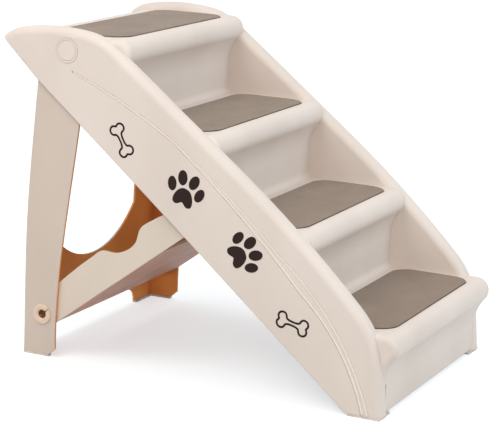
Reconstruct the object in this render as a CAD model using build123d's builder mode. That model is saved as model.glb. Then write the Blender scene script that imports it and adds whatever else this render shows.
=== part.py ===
"""Folding pet stairs: four carpeted steps between side walls, a hinged rear leg frame and a hooked brace.

Millimetres. X runs across the width, -Y is the low front step, +Y the high rear, Z is up.
Side outlines are drawn as (f, z): f is the distance back from the front edge of the side walls.
"""
import os
from math import acos, atan2, cos, degrees, hypot, radians, sin, sqrt

from build123d import *

os.makedirs("parts", exist_ok=True)

# Overall size; side outlines are shares of the wall length and the height
LENGTH = 639.0
HEIGHT = 500.0
HALF_WIDTH = 199.5
NOSING_REACH = 12.0
WALL_LENGTH = LENGTH - NOSING_REACH
MID = WALL_LENGTH / 2 - NOSING_REACH / 2
PAD_T = 3.0
OVERRUN = 20.0

# Side walls: hollow, open below, with a rounded ridge
WALL_T = 29.5
SKIN = 4.0
RIDGE_OUTER_R = 11.5
RIDGE_INNER_R = 12.0
CORE_CHAMFER_SHARE = 0.6
WALL_INNER = HALF_WIDTH - WALL_T
SKIN_INNER = HALF_WIDTH - SKIN
CORE_INNER = WALL_INNER + SKIN
RIDGE_SHARES = [
    (0.006, 0), (0.015, 0.14), (0.073, 0.3), (0.367, 0.63), (0.702, 0.953), (0.775, 0.992), (0.877, 1.0),
    (0.957, 0.988), (0.997, 0.964),
]
TIP_SHARE = (1.0, 0.96)
SKIRT_REAR_SHARE = (0.901, 0.842)
SKIRT_MID_SHARE = (0.51, 0.442)
SKIRT_FRONT_SHARE = (0.091, 0)

# Stair sheet: nosing places and the moulded section of each step
NOSING_SHARES = [(0.207, 0.488), (0.439, 0.732), (0.673, 0.976)]
FIRST_TREAD_SHARE = 0.24
SHEET = 4.5
NOSING_R = 20.0
RISER_R = 60.0
RISER_DEPTH = 20.0
COVE_R = 10.0
RISER_CLEAR = 6.0
APRON_R = 110.0
APRON_ANGLE = 27.0
APRON_SHARE = 0.909
NOSING_END_GAPS = [9.5, 18.5, 18.5, 15.5]
NOSING_END_R = 9.0
NOSING_BACK = 52.0

# Step mats: a backing in a pocket and a woven pile on it
MAT_SIDE_GAP = 7.0
MAT_LENGTH = 2 * (WALL_INNER - MAT_SIDE_GAP)
MAT_CORNER_R = 31.0
MAT_SETBACK = 22.0
MAT_REAR_GAP = 17.789
BACKING_T = 0.9
PILE_T = 2.6
PILE_EDGE_R = 0.9
POCKET = 1.5
POCKET_GAP = 0.5

# Gusset ribs under the nosings, drawn back and down from each nosing and trimmed to the sheet
RIB_T = 3.0
RIB_SPACING = 85.0
RIB_DEPTH = 70.0
RIB_HEIGHT = 60.0
RIB_SHARES = [(0.0, -1.0), (0.0, 0.0), (1.0, 0.0), (1.0, -0.2), (0.51, -0.77), (0.34, -1.0)]

# Band pressed into each side wall
BAND_DEPTH = 0.8
BAND_LOW_SHARES = [
    (0.054, 0), (0.092, 0.132), (0.212, 0.324), (0.383, 0.538), (0.539, 0.703), (0.682, 0.803), (0.808, 0.873),
]
BAND_HIGH_SHARES = [
    (0.81, 0.88), (0.68, 0.811), (0.54, 0.713), (0.394, 0.574), (0.264, 0.425), (0.103, 0.202), (0.034, 0),
]

# Rear leg frame: a channel of two flanges and a rear panel
LEG_GAP = 3.0
LEG_T = 3.5
LEG_OUTER = SKIN_INNER - LEG_GAP
LEG_INNER = LEG_OUTER - LEG_T
HUB_R = 24.0
LEG_REAR_SHARES = [(0.944, 0), (0.942, 0.146), (0.938, 0.382), (0.923, 0.638), (0.904, 0.88)]
LEG_FRONT_SHARES = [(0.785, 0.82), (0.807, 0.616), (0.833, 0.4), (0.857, 0.026)]
LEG_TOE_SHARE = (0.875, 0)
OPENING_SIDE = 63.0
OPENING_HALF = LEG_INNER - OPENING_SIDE
OPENING_LOW_SHARE = 0.232
OPENING_HIGH_SHARE = 0.8
OPENING_R = 165.0
OPENING_CORNER_R = 40.0
FOOT_WIDTH = 57.5
ARCH_HEIGHT = 28.0
ARCH_RAMP = 51.0
CROSS_RIB_SHARE = 0.144
CROSS_RIB_T = 3.0
CROSS_RIB_DEPTH = 8.0
CROSS_RIB_END_GAP = 39.0
CROSS_RIB_HALF = LEG_INNER - CROSS_RIB_END_GAP

# Top hinge: headed pin in a boss, under a cap with a ring
HINGE_SHARE = (0.823, 0.936)
HINGE_PIN_R = 8.0
RUNNING_GAP = 0.05
HINGE_HEAD_R = 12.0
HINGE_HEAD_T = 3.4
HEAD_GAP = 0.4
BOSS_R = 14.0
BOSS_GAP = 0.5
CAP_R = 18.0
CAP_GAP = 0.2
CAP_SEAT = 1.4
CAP_PROUD = 0.5
CAP_RING_R = 15.4
CAP_RING_W = 1.2
CAP_RING_DEPTH = 0.5

# Brace: two shaped flanges on a web, from the foot of the leg to the cradles
PIVOT_SHARE = (0.893, 0.13)
PEG_SHARE = (0.524, 0.479)
BRACE_GAP = 1.5
BRACE_T = 3.5
BRACE_DEPTH = 22.0
WEB_T = 4.0
BRACE_TOP_SHARES = [
    (0.19, 1.16), (0.29, 1.27), (0.376, 1.33), (0.462, 1.36), (0.5, 1.34), (0.531, 1.07), (0.569, 0.66),
    (0.614, 0.45), (0.666, 0.39), (0.71, 0.54), (0.745, 0.89), (0.779, 1.12), (0.828, 1.13), (0.924, 0.98),
    (1.0, 0.77),
]
BRACE_TAIL = 16.0
BRACE_CHAMFER = 12.0
WEB_START = 14.0
WEB_SHARE = 0.8
WINDOW_SHARES = (0.269, 0.476)
WINDOW_W = 12.0
PEG_R = 5.0
PEG_LENGTH = 8.5

# Cradles: upright slots in the side walls that the brace's pegs drop into
CRADLE_T = 8.0
CRADLE_GAP = 0.5
CRADLE_BACK = 62.0
CRADLE_HEIGHT = 65.0
CRADLE_SHARES = [
    (-1.0, 1.0), (-1.0, 0.41), (-0.46, -0.16), (-0.1, -0.2), (0.14, -0.16), (0.22, -0.08), (0.22, 0.1),
    (0.07, 0.19), (-0.17, 0.22), (-0.36, 0.37), (-0.52, 1.0),
]

# Snap pins at the foot of the brace: hollow, slotted, with a broad ring outside
SNAP_R = 8.0
SNAP_BORE_R = 6.2
SNAP_RING_R = 15.5
SNAP_RING_T = 2.5
SNAP_RING_EDGE = 1.2
SNAP_MOUTH_R = 8.6
SNAP_BARB_R = 9.4
SNAP_BARB_T = 2.2
SNAP_BARB_GAP = 0.4
SNAP_SLOT = 2.6
SNAP_SLOT_ANGLE = 142.0
SNAP_WEB_T = 1.6
SNAP_WEB_DEPTH = 9.0

# Feet
SOLE_T = 4.0
SOLE_W = 40.0
SOLE_L = 43.0
SOLE_INSET = 1.5
SOLE_FRONT = 9.0
FRONT_PAD_W = 39.0
FRONT_PAD_L = 48.0
FRONT_PAD_INSET = 0.5
FRONT_PAD_FRONT = 6.0
REAR_PAD_W = 8.0

# Printed figures: places as shares of the side, with the turn of each
PRINT_T = 0.3
PAW_PLACES_SHARE = [(0.505, 0.5775, 17.0), (0.3516, 0.42, 61.0)]
PAW_R = 23.0
TOE_SHARES = [(1.0, 0.0, 0.46, 0.3, 18.0), (0.42, 0.62, 0.48, 0.325, 15.0)]
PALM_SHARES = [
    (0.0, 0.035), (0.24, 0.0), (0.48, -0.2), (0.63, -0.48), (0.695, -0.78), (0.63, -1.02), (0.43, -1.1),
    (0.22, -1.02), (0.0, -0.88),
]
BONE_PLACES_SHARE = [(0.674, 0.695, 62.0), (0.2277, 0.2375, 14.0)]
BONE_LENGTH = 34.4
BONE_SPREAD = 10.2
KNOB_R = 6.6
SHANK_W = 7.4
BONE_LINE = 2.2


def at(share):
    """Side-drawing place (f, z) of a share of the wall length and the height."""
    return (share[0] * WALL_LENGTH, share[1] * HEIGHT or PAD_T)


def pt(place):
    """Sketch coordinates on the YZ plane of a side-drawing place."""
    return (place[0] - MID, place[1])


def ridge_line(depth):
    """Draws the ridge as a line and smooth arcs, sunk by a depth into the wall, and returns its two ends."""
    turn = atan2(RIDGE[1][1] - RIDGE[0][1], RIDGE[1][0] - RIDGE[0][0])
    first = here = (RIDGE[0][0] + depth * sin(turn), RIDGE[0][1] - depth * cos(turn))
    for a, b in zip(RIDGE, RIDGE[1:]):
        leaves = 2 * atan2(b[1] - a[1], b[0] - a[0]) - turn
        there = (b[0] + depth * sin(leaves), b[1] - depth * cos(leaves))
        if here is first:
            Line(pt(here), pt(there))
        else:
            TangentArc(pt(here), pt(there), tangent=(cos(turn), sin(turn)))
        here, turn = there, leaves
    return first, here


RIDGE = [at(s) for s in RIDGE_SHARES]
SKIRT_REAR, SKIRT_MID, SKIRT_FRONT = at(SKIRT_REAR_SHARE), at(SKIRT_MID_SHARE), at(SKIRT_FRONT_SHARE)
STEPS = [(-NOSING_REACH, FIRST_TREAD_SHARE * HEIGHT)] + [at(s) for s in NOSING_SHARES]
NOSING_REACHES = [HALF_WIDTH - gap for gap in NOSING_END_GAPS]
MAT_DEPTH = STEPS[1][0] - STEPS[0][0] + RISER_DEPTH - MAT_SETBACK - MAT_REAR_GAP
HINGE, PIVOT, PEG = at(HINGE_SHARE), at(PIVOT_SHARE), at(PEG_SHARE)
PLATFORM_END = APRON_SHARE * WALL_LENGTH
PIN_END = HALF_WIDTH - CAP_SEAT
BRACE_OUTER = LEG_INNER - BRACE_GAP
BRACE_INNER = BRACE_OUTER - BRACE_T
BRACE_ANGLE = atan2(PEG[1] - PIVOT[1], PEG[0] - PIVOT[0])
BRACE_REACH = hypot(PEG[1] - PIVOT[1], PEG[0] - PIVOT[0])
SIDES = ((-1, "left"), (1, "right"))


def along(s, h):
    """Place on the brace: s from the pivot towards the peg, h above that line."""
    c, n = cos(BRACE_ANGLE), sin(BRACE_ANGLE)
    return (PIVOT[0] + s * c + h * n, PIVOT[1] + s * n - h * c)


def nosing_edges(nose, top, depth):
    """Draws one nosing and the hollow below it, sunk by a depth, and returns the hollow's lower end."""
    a = (nose + NOSING_R, top - NOSING_R)
    b_f = nose + RISER_DEPTH - RISER_R
    b = (b_f, a[1] - sqrt((NOSING_R + RISER_R) ** 2 - (a[0] - b_f) ** 2))
    turn = degrees(atan2(a[1] - b[1], a[0] - b[0]))
    CenterArc(pt(b), RISER_R + depth, 0, turn)
    CenterArc(pt(a), NOSING_R - depth, turn + 180, -90 - turn)
    return (b_f + RISER_R + depth, b[1])


def stair_edges(depth):
    """Draws the stair line, sunk by a depth into the sheet, and returns its two ends."""
    for i, (nose, top) in enumerate(STEPS):
        hollow = nosing_edges(nose, top, depth)
        if i:
            before, below = STEPS[i - 1]
            cove = (nose + RISER_DEPTH - COVE_R, below + COVE_R)
            Line(pt((before + NOSING_R, below - depth)), pt((cove[0], below - depth)))
            CenterArc(pt(cove), COVE_R + depth, -90, 90)
            Line(pt((hollow[0], cove[1])), pt(hollow))
        else:
            first = (hollow[0], RISER_CLEAR)
            Line(pt(first), pt(hollow))
    Line(pt((nose + NOSING_R, top - depth)), pt((PLATFORM_END, top - depth)))
    CenterArc(pt((PLATFORM_END, top - APRON_R)), APRON_R - depth, 90, -APRON_ANGLE)
    turn = radians(90 - APRON_ANGLE)
    last = (PLATFORM_END + (APRON_R - depth) * cos(turn), top - APRON_R + (APRON_R - depth) * sin(turn))
    return first, last


def inside(depth):
    """Solid of all that lies under the stair line, sunk by a depth, between the cores of the side walls."""
    with BuildPart() as space:
        with BuildSketch(Plane.YZ):
            with BuildLine():
                ends = stair_edges(depth)
                Polyline(pt(ends[1]), pt((ends[1][0], -OVERRUN)), pt((ends[0][0], -OVERRUN)), pt(ends[0]))
            make_face()
        extrude(amount=CORE_INNER, both=True)
    return space.part


def nosing_bar(nose, top, depth, reach):
    """Solid bar behind a nosing and the hollow below it, sunk by a depth, that reaches to both sides."""
    with BuildPart() as bar:
        with BuildSketch(Plane.YZ):
            with BuildLine():
                hollow = nosing_edges(nose, top, depth)
                Polyline(
                    pt((nose + NOSING_R, top - depth)), pt((nose + NOSING_BACK, top - depth)),
                    pt((nose + NOSING_BACK, hollow[1])), pt(hollow),
                )
            make_face()
        extrude(amount=reach, both=True)
        if not depth:
            for end in (bar.faces().sort_by(Axis.X)[0], bar.faces().sort_by(Axis.X)[-1]):
                fillet(end.edges().filter_by(GeomType.CIRCLE), NOSING_END_R)
    return bar.part


# One hollow side wall, drawn on the right
with BuildPart() as wall:
    with BuildSketch(Plane.YZ.offset(WALL_INNER)):
        with BuildLine():
            foot, crest = ridge_line(0)
            Line(pt(crest), pt(at(TIP_SHARE)))
            Line(pt(at(TIP_SHARE)), pt(SKIRT_REAR))
            ThreePointArc(pt(SKIRT_REAR), pt(SKIRT_MID), pt(SKIRT_FRONT))
            Line(pt(SKIRT_FRONT), pt(foot))
        make_face()
    extrude(amount=WALL_T)
    # a fillet runs on along all the ridge's arcs
    fillet(wall.edges().group_by(Axis.X)[-1].sort_by(Axis.Y)[0], RIDGE_OUTER_R)
    fillet(wall.edges().group_by(Axis.X)[0].sort_by(Axis.Y)[0], RIDGE_INNER_R)

with BuildPart() as wall_core:
    with BuildSketch(Plane.YZ.offset(CORE_INNER)):
        with BuildLine():
            foot, crest = ridge_line(SKIN)
            Polyline(
                pt(crest), pt((crest[0], SKIRT_REAR[1])), pt((SKIRT_REAR[0], SKIRT_REAR[1] - OVERRUN)),
                pt((SKIRT_FRONT[0] - NOSING_REACH, -OVERRUN)), pt((foot[0], -OVERRUN)), pt(foot),
            )
        make_face()
    extrude(amount=SKIN_INNER - CORE_INNER)
    # the core's own front comes before the ridge's lowest line
    chamfer(wall_core.edges().group_by(Axis.X)[-1].sort_by(Axis.Y)[1], CORE_CHAMFER_SHARE * (RIDGE_OUTER_R - SKIN))
    chamfer(wall_core.edges().group_by(Axis.X)[0].sort_by(Axis.Y)[1], CORE_CHAMFER_SHARE * (RIDGE_INNER_R - SKIN))

# The stair sheet between the walls, and the gusset ribs under every nosing
with BuildPart() as sheet:
    with BuildSketch(Plane.YZ):
        with BuildLine():
            upper = stair_edges(0)
            lower = stair_edges(SHEET)
            Line(pt(upper[0]), pt(lower[0]))
            Line(pt(upper[1]), pt(lower[1]))
        make_face()
    extrude(amount=CORE_INNER, both=True)

with BuildPart() as ribs:
    for nose, top in STEPS:
        for x in (-RIB_SPACING, 0, RIB_SPACING):
            with BuildSketch(Plane.YZ.offset(x - RIB_T / 2)):
                with BuildLine():
                    Polyline(*[pt((nose + f * RIB_DEPTH, top + z * RIB_HEIGHT)) for f, z in RIB_SHARES], close=True)
                make_face()
            extrude(amount=RIB_T)
    add(inside(SHEET / 2), mode=Mode.INTERSECT)

with BuildPart() as stair_body:
    add(wall.part)
    mirror(wall.part, about=Plane.YZ)
    # the nosings lap over the walls and end round
    for (nose, top), reach in zip(STEPS, NOSING_REACHES):
        add(nosing_bar(nose, top, 0, reach))
    for (nose, top), reach in zip(STEPS, NOSING_REACHES):
        add(nosing_bar(nose, top, SHEET, reach - 2 * SHEET), mode=Mode.SUBTRACT)
    add(wall_core.part, mode=Mode.SUBTRACT)
    add(wall_core.part.mirror(Plane.YZ), mode=Mode.SUBTRACT)
    add(inside(SHEET), mode=Mode.SUBTRACT)
    add(sheet.part)
    add(ribs.part)
    # pockets for the mats
    for nose, top in STEPS:
        with BuildSketch(Plane.XY.offset(top - POCKET)):
            with Locations((0, nose + MAT_SETBACK + MAT_DEPTH / 2 - MID)):
                RectangleRounded(MAT_LENGTH + 2 * POCKET_GAP, MAT_DEPTH + 2 * POCKET_GAP, MAT_CORNER_R + POCKET_GAP)
        extrude(amount=POCKET, mode=Mode.SUBTRACT)
    for side, _ in SIDES:
        # hinge boss on the inner face of the outer skin
        boss_face = LEG_OUTER + BOSS_GAP
        with BuildSketch(Plane.YZ.offset(side * boss_face)):
            with Locations(pt(HINGE)):
                Circle(BOSS_R)
        extrude(amount=side * (SKIN_INNER + SKIN / 2 - boss_face))
        # cradle for the brace's peg, hung from the inner skin
        with BuildSketch(Plane.YZ.offset(side * (CORE_INNER - SKIN / 4))):
            with BuildLine():
                Polyline(
                    *[pt((PEG[0] + f * CRADLE_BACK, PEG[1] + z * CRADLE_HEIGHT)) for f, z in CRADLE_SHARES],
                    close=True,
                )
            make_face()
            slot = PEG_R + CRADLE_GAP
            with Locations(pt(PEG)):
                Circle(slot, mode=Mode.SUBTRACT)
            with Locations(pt((PEG[0], PEG[1] + CRADLE_HEIGHT / 2))):
                Rectangle(2 * slot, CRADLE_HEIGHT, mode=Mode.SUBTRACT)
        extrude(amount=side * CRADLE_T)
        # pin hole and recess of the cap
        with BuildSketch(Plane.YZ.offset(side * boss_face)):
            with Locations(pt(HINGE)):
                Circle(HINGE_PIN_R)
        extrude(amount=side * (PIN_END - boss_face), mode=Mode.SUBTRACT)
        with BuildSketch(Plane.YZ.offset(side * PIN_END)):
            with Locations(pt(HINGE)):
                Circle(CAP_R + CAP_GAP)
        extrude(amount=side * OVERRUN, mode=Mode.SUBTRACT)
        # pressed band
        with BuildSketch(Plane.YZ.offset(side * (HALF_WIDTH - BAND_DEPTH))):
            with BuildLine():
                band_low = [at(s) for s in BAND_LOW_SHARES]
                band_high = [at(s) for s in BAND_HIGH_SHARES]
                for line in (band_low, band_high):
                    for start, middle, end in zip(line[::2], line[1::2], line[2::2]):
                        ThreePointArc(pt(start), pt(middle), pt(end))
                Line(pt(band_low[-1]), pt(band_high[0]))
                Line(pt(band_high[-1]), pt(band_low[0]))
            make_face()
        extrude(amount=side * OVERRUN, mode=Mode.SUBTRACT)
        # closed sole of the front foot
        sole_x = side * (HALF_WIDTH - SOLE_INSET - SOLE_W / 2)
        with Locations((sole_x, SOLE_FRONT + SOLE_L / 2 - MID, PAD_T + SOLE_T / 2)):
            Box(SOLE_W, SOLE_L, SOLE_T)
stair_body.part.label = "stair_body"
export_step(stair_body.part, "parts/stair_body.step")

# Step mats
for number, (nose, top) in enumerate(STEPS, start=1):
    for name, low, thick in (("mat_backing", top - POCKET, BACKING_T), ("mat", top - POCKET + BACKING_T, PILE_T)):
        with BuildPart() as layer:
            with BuildSketch(Plane.XY.offset(low)):
                with Locations((0, nose + MAT_SETBACK + MAT_DEPTH / 2 - MID)):
                    RectangleRounded(MAT_LENGTH, MAT_DEPTH, MAT_CORNER_R)
            extrude(amount=thick)
            if name == "mat":
                fillet(layer.edges().group_by(Axis.Z)[-1], PILE_EDGE_R)
        layer.part.label = f"{name}_{number}"
        export_step(layer.part, f"parts/{name}_{number}.step")

# Rear leg frame
leg_rear = [at(s) for s in LEG_REAR_SHARES]
leg_front = [at(s) for s in LEG_FRONT_SHARES]
leg_toe = at(LEG_TOE_SHARE)
hub_reach = hypot(leg_rear[-1][0] - HINGE[0], leg_rear[-1][1] - HINGE[1])
hub_turn = atan2(leg_rear[-1][1] - HINGE[1], leg_rear[-1][0] - HINGE[0]) + acos(HUB_R / hub_reach)
hub_touch = (HINGE[0] + HUB_R * cos(hub_turn), HINGE[1] + HUB_R * sin(hub_turn))
with BuildPart() as leg_frame:
    with BuildSketch(Plane.YZ.offset(LEG_INNER)):
        with BuildLine():
            Spline(*[pt(p) for p in leg_rear])
            Line(pt(leg_rear[-1]), pt(hub_touch))
            CenterArc(pt(HINGE), HUB_R, degrees(hub_turn), 180 - degrees(hub_turn))
            Line(pt((HINGE[0] - HUB_R, HINGE[1])), pt(leg_front[0]))
            Spline(*[pt(p) for p in leg_front])
            Line(pt(leg_front[-1]), pt(leg_toe))
            Line(pt(leg_toe), pt(leg_rear[0]))
        make_face()
    extrude(amount=LEG_T)
    mirror(about=Plane.YZ)
    with BuildSketch(Plane.YZ):
        with BuildLine():
            panel = [(f - LEG_T, z) for f, z in leg_rear]
            Spline(*[pt(p) for p in leg_rear])
            Line(pt(leg_rear[-1]), pt(panel[-1]))
            Spline(*[pt(p) for p in panel])
            Line(pt(panel[0]), pt(leg_rear[0]))
        make_face()
    extrude(amount=LEG_OUTER, both=True)
    # stiffening rib across the lower panel
    rib_f = leg_rear[1][0] - LEG_T / 2 - CROSS_RIB_DEPTH / 2
    with Locations((0, rib_f - MID, CROSS_RIB_SHARE * HEIGHT)):
        Box(2 * CROSS_RIB_HALF, CROSS_RIB_DEPTH, CROSS_RIB_T)
    # tall opening with a round lower end, and the arch between the feet
    with BuildSketch(Plane.XZ.offset(MID - leg_toe[0])):
        low, high = OPENING_LOW_SHARE * HEIGHT, OPENING_HIGH_SHARE * HEIGHT
        spring = low + OPENING_R - sqrt(OPENING_R**2 - OPENING_HALF**2)
        shoulder = high - OPENING_CORNER_R
        inner = OPENING_HALF - OPENING_CORNER_R
        with BuildLine():
            ThreePointArc((-OPENING_HALF, spring), (0, low), (OPENING_HALF, spring))
            Line((OPENING_HALF, spring), (OPENING_HALF, shoulder))
            RadiusArc((OPENING_HALF, shoulder), (inner, high), -OPENING_CORNER_R)
            Line((inner, high), (-inner, high))
            RadiusArc((-inner, high), (-OPENING_HALF, shoulder), -OPENING_CORNER_R)
            Line((-OPENING_HALF, shoulder), (-OPENING_HALF, spring))
        make_face()
        arch_foot = LEG_OUTER - FOOT_WIDTH
        arch_top = arch_foot - ARCH_RAMP
        with BuildLine():
            Line((-arch_top, ARCH_HEIGHT), (arch_top, ARCH_HEIGHT))
            Spline((arch_top, ARCH_HEIGHT), (arch_foot, PAD_T), tangents=((1, 0), (0, -1)))
            Line((arch_foot, PAD_T), (arch_foot, -OVERRUN))
            Line((arch_foot, -OVERRUN), (-arch_foot, -OVERRUN))
            Line((-arch_foot, -OVERRUN), (-arch_foot, PAD_T))
            Spline((-arch_foot, PAD_T), (-arch_top, ARCH_HEIGHT), tangents=((0, 1), (1, 0)))
        make_face()
    extrude(amount=-(leg_rear[0][0] - leg_toe[0] + OVERRUN), mode=Mode.SUBTRACT)
    for side, _ in SIDES:
        with BuildSketch(Plane.YZ.offset(side * LEG_INNER)):
            with Locations(pt(HINGE)):
                Circle(HINGE_PIN_R + RUNNING_GAP)
            with Locations(pt(PIVOT)):
                Circle(SNAP_R)
        extrude(amount=side * LEG_T, mode=Mode.SUBTRACT)
leg_frame.part.label = "leg_frame"
export_step(leg_frame.part, "parts/leg_frame.step")

# Brace
brace_top = [along(s * BRACE_REACH, h * BRACE_DEPTH) for s, h in BRACE_TOP_SHARES]
brace_end = BRACE_REACH + BRACE_TAIL
with BuildPart() as brace:
    with BuildSketch(Plane.YZ.offset(BRACE_INNER)):
        with BuildLine():
            Spline(*[pt(p) for p in brace_top])
            Polyline(
                pt(brace_top[-1]), pt(along(brace_end, 0)), pt(along(brace_end, BRACE_CHAMFER - BRACE_DEPTH)),
                pt(along(brace_end - BRACE_CHAMFER, -BRACE_DEPTH)), pt(along(0, -BRACE_DEPTH)),
            )
            ThreePointArc(pt(along(0, -BRACE_DEPTH)), pt(along(-BRACE_DEPTH, 0)), pt(along(0, BRACE_DEPTH)))
            Line(pt(along(0, BRACE_DEPTH)), pt(brace_top[0]))
        make_face()
    extrude(amount=BRACE_T)
    mirror(about=Plane.YZ)
    with BuildSketch(Plane.YZ):
        with BuildLine():
            web_end = WEB_SHARE * BRACE_REACH
            Polyline(
                pt(along(WEB_START, -BRACE_DEPTH)), pt(along(web_end, -BRACE_DEPTH)),
                pt(along(web_end, WEB_T - BRACE_DEPTH)), pt(along(WEB_START, WEB_T - BRACE_DEPTH)), close=True,
            )
        make_face()
    extrude(amount=BRACE_INNER, both=True)
    for side, _ in SIDES:
        # window in the web that clears the cradle when folded
        with BuildSketch(Plane.YZ.offset(side * (BRACE_INNER - WINDOW_W))):
            with BuildLine():
                w0, w1 = (s * BRACE_REACH for s in WINDOW_SHARES)
                h0, h1 = -BRACE_DEPTH - WEB_T, 2 * WEB_T - BRACE_DEPTH
                Polyline(pt(along(w0, h0)), pt(along(w1, h0)), pt(along(w1, h1)), pt(along(w0, h1)), close=True)
            make_face()
        extrude(amount=side * WINDOW_W, mode=Mode.SUBTRACT)
        with BuildSketch(Plane.YZ.offset(side * BRACE_INNER)):
            with Locations(pt(PEG)):
                Circle(PEG_R)
        extrude(amount=-side * PEG_LENGTH)
        with BuildSketch(Plane.YZ.offset(side * BRACE_INNER)):
            with Locations(pt(PIVOT)):
                Circle(SNAP_R + RUNNING_GAP)
        extrude(amount=side * BRACE_T, mode=Mode.SUBTRACT)
brace.part.label = "brace"
export_step(brace.part, "parts/brace.step")

# Small pieces, one of each per side
for side, word in SIDES:
    with BuildPart() as hinge_pin:
        head_end = LEG_INNER - HEAD_GAP
        with BuildSketch(Plane.YZ.offset(side * head_end)):
            with Locations(pt(HINGE)):
                Circle(HINGE_HEAD_R)
        extrude(amount=-side * HINGE_HEAD_T)
        with BuildSketch(Plane.YZ.offset(side * head_end)):
            with Locations(pt(HINGE)):
                Circle(HINGE_PIN_R)
        extrude(amount=side * (PIN_END - head_end))
    hinge_pin.part.label = f"hinge_pin_{word}"
    export_step(hinge_pin.part, f"parts/hinge_pin_{word}.step")

    with BuildPart() as hinge_cap:
        cap_face = HALF_WIDTH + CAP_PROUD
        with BuildSketch(Plane.YZ.offset(side * PIN_END)):
            with Locations(pt(HINGE)):
                Circle(CAP_R)
        extrude(amount=side * (cap_face - PIN_END))
        with BuildSketch(Plane.YZ.offset(side * (cap_face - CAP_RING_DEPTH))):
            with Locations(pt(HINGE)):
                Circle(CAP_RING_R)
                Circle(CAP_RING_R - CAP_RING_W, mode=Mode.SUBTRACT)
        extrude(amount=side * CAP_RING_DEPTH, mode=Mode.SUBTRACT)
    hinge_cap.part.label = f"hinge_cap_{word}"
    export_step(hinge_cap.part, f"parts/hinge_cap_{word}.step")

    # drawn as a turned section (radius, distance out) about the pivot axis
    with BuildPart() as snap_pin:
        barb_out = BRACE_INNER - SNAP_BARB_GAP
        barb_in = barb_out - SNAP_BARB_T
        ring_out = LEG_OUTER + SNAP_RING_T
        axis_plane = Plane(origin=(0, *pt(PIVOT)), x_dir=(0, 1, 0), z_dir=(0, 0, -1))
        with BuildSketch(axis_plane):
            with BuildLine():
                Polyline(*[
                    (r, side * x) for r, x in (
                        (SNAP_BORE_R, barb_in), (SNAP_R, barb_in), (SNAP_BARB_R, barb_out), (SNAP_R, barb_out),
                        (SNAP_R, LEG_OUTER), (SNAP_RING_R, LEG_OUTER), (SNAP_RING_R, ring_out - SNAP_RING_EDGE),
                        (SNAP_RING_R - SNAP_RING_EDGE, ring_out), (SNAP_MOUTH_R, ring_out),
                        (SNAP_BORE_R, ring_out - SNAP_RING_T),
                    )
                ], close=True)
            make_face()
        revolve(axis=Axis((0, *pt(PIVOT)), (1, 0, 0)))
        # slot that lets the barbs spring in, open on one side of the ring
        slot_turn = Location((0, 0, 0), (0, 0, SNAP_SLOT_ANGLE))
        web_face = ring_out - SNAP_WEB_DEPTH
        with BuildSketch(Plane.YZ.offset(side * barb_in)):
            with Locations(Location((*pt(PIVOT), 0)) * slot_turn):
                Rectangle(2 * SNAP_RING_R, SNAP_SLOT)
        extrude(amount=side * (LEG_OUTER - barb_in), mode=Mode.SUBTRACT)
        with BuildSketch(Plane.YZ.offset(side * LEG_OUTER)):
            with Locations(Location((*pt(PIVOT), 0)) * slot_turn):
                with Locations((SNAP_RING_R / 2 + SNAP_SLOT, 0)):
                    Rectangle(SNAP_RING_R, SNAP_SLOT)
        extrude(amount=side * SNAP_RING_T, mode=Mode.SUBTRACT)
        with BuildSketch(Plane.YZ.offset(side * web_face)):
            with Locations(pt(PIVOT)):
                Circle((SNAP_BORE_R + SNAP_R) / 2)
        extrude(amount=-side * SNAP_WEB_T)
    snap_pin.part.label = f"snap_pin_{word}"
    export_step(snap_pin.part, f"parts/snap_pin_{word}.step")

    with BuildPart() as front_pad:
        pad_x = side * (HALF_WIDTH - FRONT_PAD_INSET - FRONT_PAD_W / 2)
        with Locations((pad_x, FRONT_PAD_FRONT + FRONT_PAD_L / 2 - MID, PAD_T / 2)):
            Box(FRONT_PAD_W, FRONT_PAD_L, PAD_T)
    front_pad.part.label = f"front_pad_{word}"
    export_step(front_pad.part, f"parts/front_pad_{word}.step")

    with BuildPart() as rear_pad:
        with BuildSketch(Plane.XY):
            with BuildLine():
                outer, inner = LEG_OUTER, LEG_OUTER - FOOT_WIDTH
                rear, toe = leg_rear[0][0] - MID, leg_toe[0] - MID
                Polyline(*[
                    (side * x, y) for x, y in (
                        (outer, toe), (outer, rear), (inner, rear), (inner, rear - REAR_PAD_W),
                        (outer - REAR_PAD_W, rear - REAR_PAD_W), (outer - REAR_PAD_W, toe),
                    )
                ], close=True)
            make_face()
        extrude(amount=PAD_T)
    rear_pad.part.label = f"rear_pad_{word}"
    export_step(rear_pad.part, f"parts/rear_pad_{word}.step")

    with BuildPart() as paw_prints:
        with BuildSketch(Plane.YZ.offset(side * HALF_WIDTH)):
            for f, z, turn in PAW_PLACES_SHARE:
                with Locations(Location((*pt(at((f, z))), 0), (0, 0, turn))):
                    for u, v, long_r, short_r, lean in TOE_SHARES:
                        for hand in (-1, 1):
                            with Locations((hand * u * PAW_R, v * PAW_R)):
                                Ellipse(long_r * PAW_R, short_r * PAW_R, rotation=90 - hand * lean)
                    with BuildSketch(mode=Mode.PRIVATE) as palm:
                        with BuildLine():
                            half = [(u * PAW_R, v * PAW_R) for u, v in PALM_SHARES]
                            other = [(-u, v) for u, v in reversed(half[1:-1])]
                            Spline(*half, *other, periodic=True)
                        make_face()
                    add(palm.sketch)
        extrude(amount=side * PRINT_T)
    paw_prints.part.label = f"paw_prints_{word}"
    export_step(paw_prints.part, f"parts/paw_prints_{word}.step")

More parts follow.
